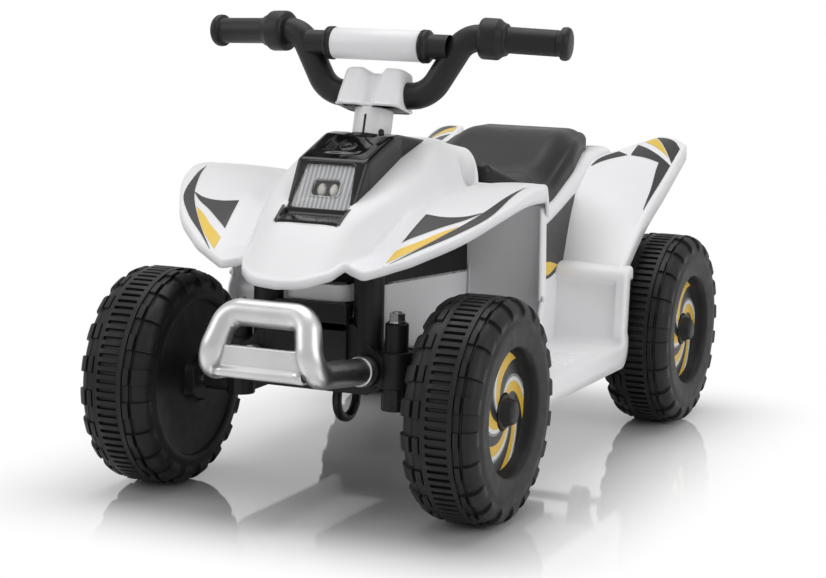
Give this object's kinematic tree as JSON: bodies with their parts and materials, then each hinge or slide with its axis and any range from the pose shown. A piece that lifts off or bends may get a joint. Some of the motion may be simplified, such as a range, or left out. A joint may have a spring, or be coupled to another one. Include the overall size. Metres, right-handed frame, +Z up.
{
  "type": "kids quad bike",
  "caption": "Battery ride-on quad bike for toddlers with steerable front wheels, moulded body and fenders, saddle seat, handlebar, headlight and tubular bumper.",
  "frame": {"origin": "on the ground under the middle of the overall box", "axes": "+X to the rider's left, +Y to the rear, +Z up; the bike drives towards -Y"},
  "size_m": [0.3994, 0.7258, 0.434],
  "materials": {
    "body_white": "smooth moulded, satin gloss",
    "black_plastic": "fine moulded texture",
    "grip_black": "satin with soft sheen",
    "gloss_black": "high gloss",
    "wheel_black": "blow moulded, satin",
    "wheel_trim": "black with yellow and white striping",
    "seat_black": "satin, fine leather-like grain",
    "silver": "satin silver paint on moulded tube",
    "clear_lens": "clear, ribbed inside",
    "reflector": "vacuum plated",
    "led": "clear dome",
    "steel": "zinc plated",
    "steel_black": "black coated bar",
    "nylon": "natural nylon",
    "battery_case": "moulded case"
  },
  "bodies": {
    "chassis": {"front_frame": "black_plastic", "front_cowl": "body_white", "headlight_bezel": "gloss_black", "headlight_lens": "clear_lens", "headlight_reflector": "reflector", "headlight_leds": "led", "main_body": "body_white", "chassis_pan": "black_plastic", "seat": "seat_black", "rear_axle": "steel", "rear_axle_bushes": "nylon", "gearbox_case": "black_plastic", "drive_motor": "steel", "battery": "battery_case", "bumper_bar": "silver", "bumper_plate": "silver", "pedal_pivot": "black_plastic", "rocker_frame": "black_plastic", "charge_socket": "black_plastic", "cowl_carrier": "black_plastic"},
    "steering": {"steering_rod": "steel_black", "column_sleeve": "body_white", "handlebar": "black_plastic", "crossbar": "black_plastic", "crossbar_pad": "body_white", "handlebar_clamp": "body_white", "grip_left": "grip_black", "grip_right": "grip_black"},
    "tie_link": {"tie_rod": "black_plastic"},
    "pedal": {"foot_pedal": "black_plastic"},
    "rocker": {"direction_rocker": "black_plastic"},
    "knuckle_left": {"knuckle_left": "black_plastic", "kingpin_left": "steel", "kingpin_nut_left": "steel", "stub_axle_left": "steel"},
    "knuckle_right": {"knuckle_right": "black_plastic", "kingpin_right": "steel", "kingpin_nut_right": "steel", "stub_axle_right": "steel"},
    "wheel_front_left": {"tyre_front_left": "wheel_black", "wheel_trim_front_left": "wheel_trim", "hub_cap_front_left": "black_plastic"},
    "wheel_front_right": {"tyre_front_right": "wheel_black", "wheel_trim_front_right": "wheel_trim", "hub_cap_front_right": "black_plastic"},
    "wheel_rear_left": {"tyre_rear_left": "wheel_black", "wheel_trim_rear_left": "wheel_trim", "hub_cap_rear_left": "black_plastic"},
    "wheel_rear_right": {"tyre_rear_right": "wheel_black", "wheel_trim_rear_right": "wheel_trim", "hub_cap_rear_right": "black_plastic"}
  },
  "joints": [
    {"name": "steering_turn", "type": "hinge", "parent": "chassis", "child": "steering", "pos_m": [0, -0.13097, 0.335], "axis": [0, 0.2588, 0.9659], "range_deg": [-30, 30]},
    {"name": "knuckle_left_turn", "type": "hinge", "parent": "chassis", "child": "knuckle_left", "pos_m": [0.0776, -0.23867, 0.1], "axis": [0, 0, 1], "range_deg": [-14, 14]},
    {"name": "knuckle_right_turn", "type": "hinge", "parent": "chassis", "child": "knuckle_right", "pos_m": [-0.0776, -0.23867, 0.1], "axis": [0, 0, 1], "range_deg": [-14, 14]},
    {"name": "tie_rod_swing", "type": "hinge", "parent": "knuckle_left", "child": "tie_link", "pos_m": [0.0776, -0.14967, 0.105], "axis": [0, 0, 1], "range_deg": [-14, 14]},
    {"name": "wheel_front_left_spin", "type": "hinge", "parent": "knuckle_left", "child": "wheel_front_left", "pos_m": [0.1573, -0.23867, 0.1], "axis": [1, 0, 0], "continuous": true},
    {"name": "wheel_front_right_spin", "type": "hinge", "parent": "knuckle_right", "child": "wheel_front_right", "pos_m": [-0.1573, -0.23867, 0.1], "axis": [1, 0, 0], "continuous": true},
    {"name": "wheel_rear_left_spin", "type": "hinge", "parent": "chassis", "child": "wheel_rear_left", "pos_m": [0.1632, 0.25673, 0.1], "axis": [1, 0, 0], "continuous": true},
    {"name": "wheel_rear_right_spin", "type": "hinge", "parent": "chassis", "child": "wheel_rear_right", "pos_m": [-0.1632, 0.25673, 0.1], "axis": [1, 0, 0], "continuous": true},
    {"name": "pedal_press", "type": "hinge", "parent": "chassis", "child": "pedal", "pos_m": [-0.127, 0.00903, 0.104], "axis": [1, 0, 0], "range_deg": [0, 8], "stiffness_Nm_per_rad": 0.5, "springref_deg": -5.73},
    {"name": "direction_rock", "type": "hinge", "parent": "chassis", "child": "rocker", "pos_m": [-0.0863, 0.06003, 0.19], "axis": [0, 0, 1], "range_deg": [-5, 5]}
  ],
  "couplings": [
    {"joint": "knuckle_left_turn", "follows": "steering_turn", "ratio": 0.4494},
    {"joint": "knuckle_right_turn", "follows": "steering_turn", "ratio": 0.4494},
    {"joint": "tie_rod_swing", "follows": "steering_turn", "ratio": -0.4494}
  ]
}
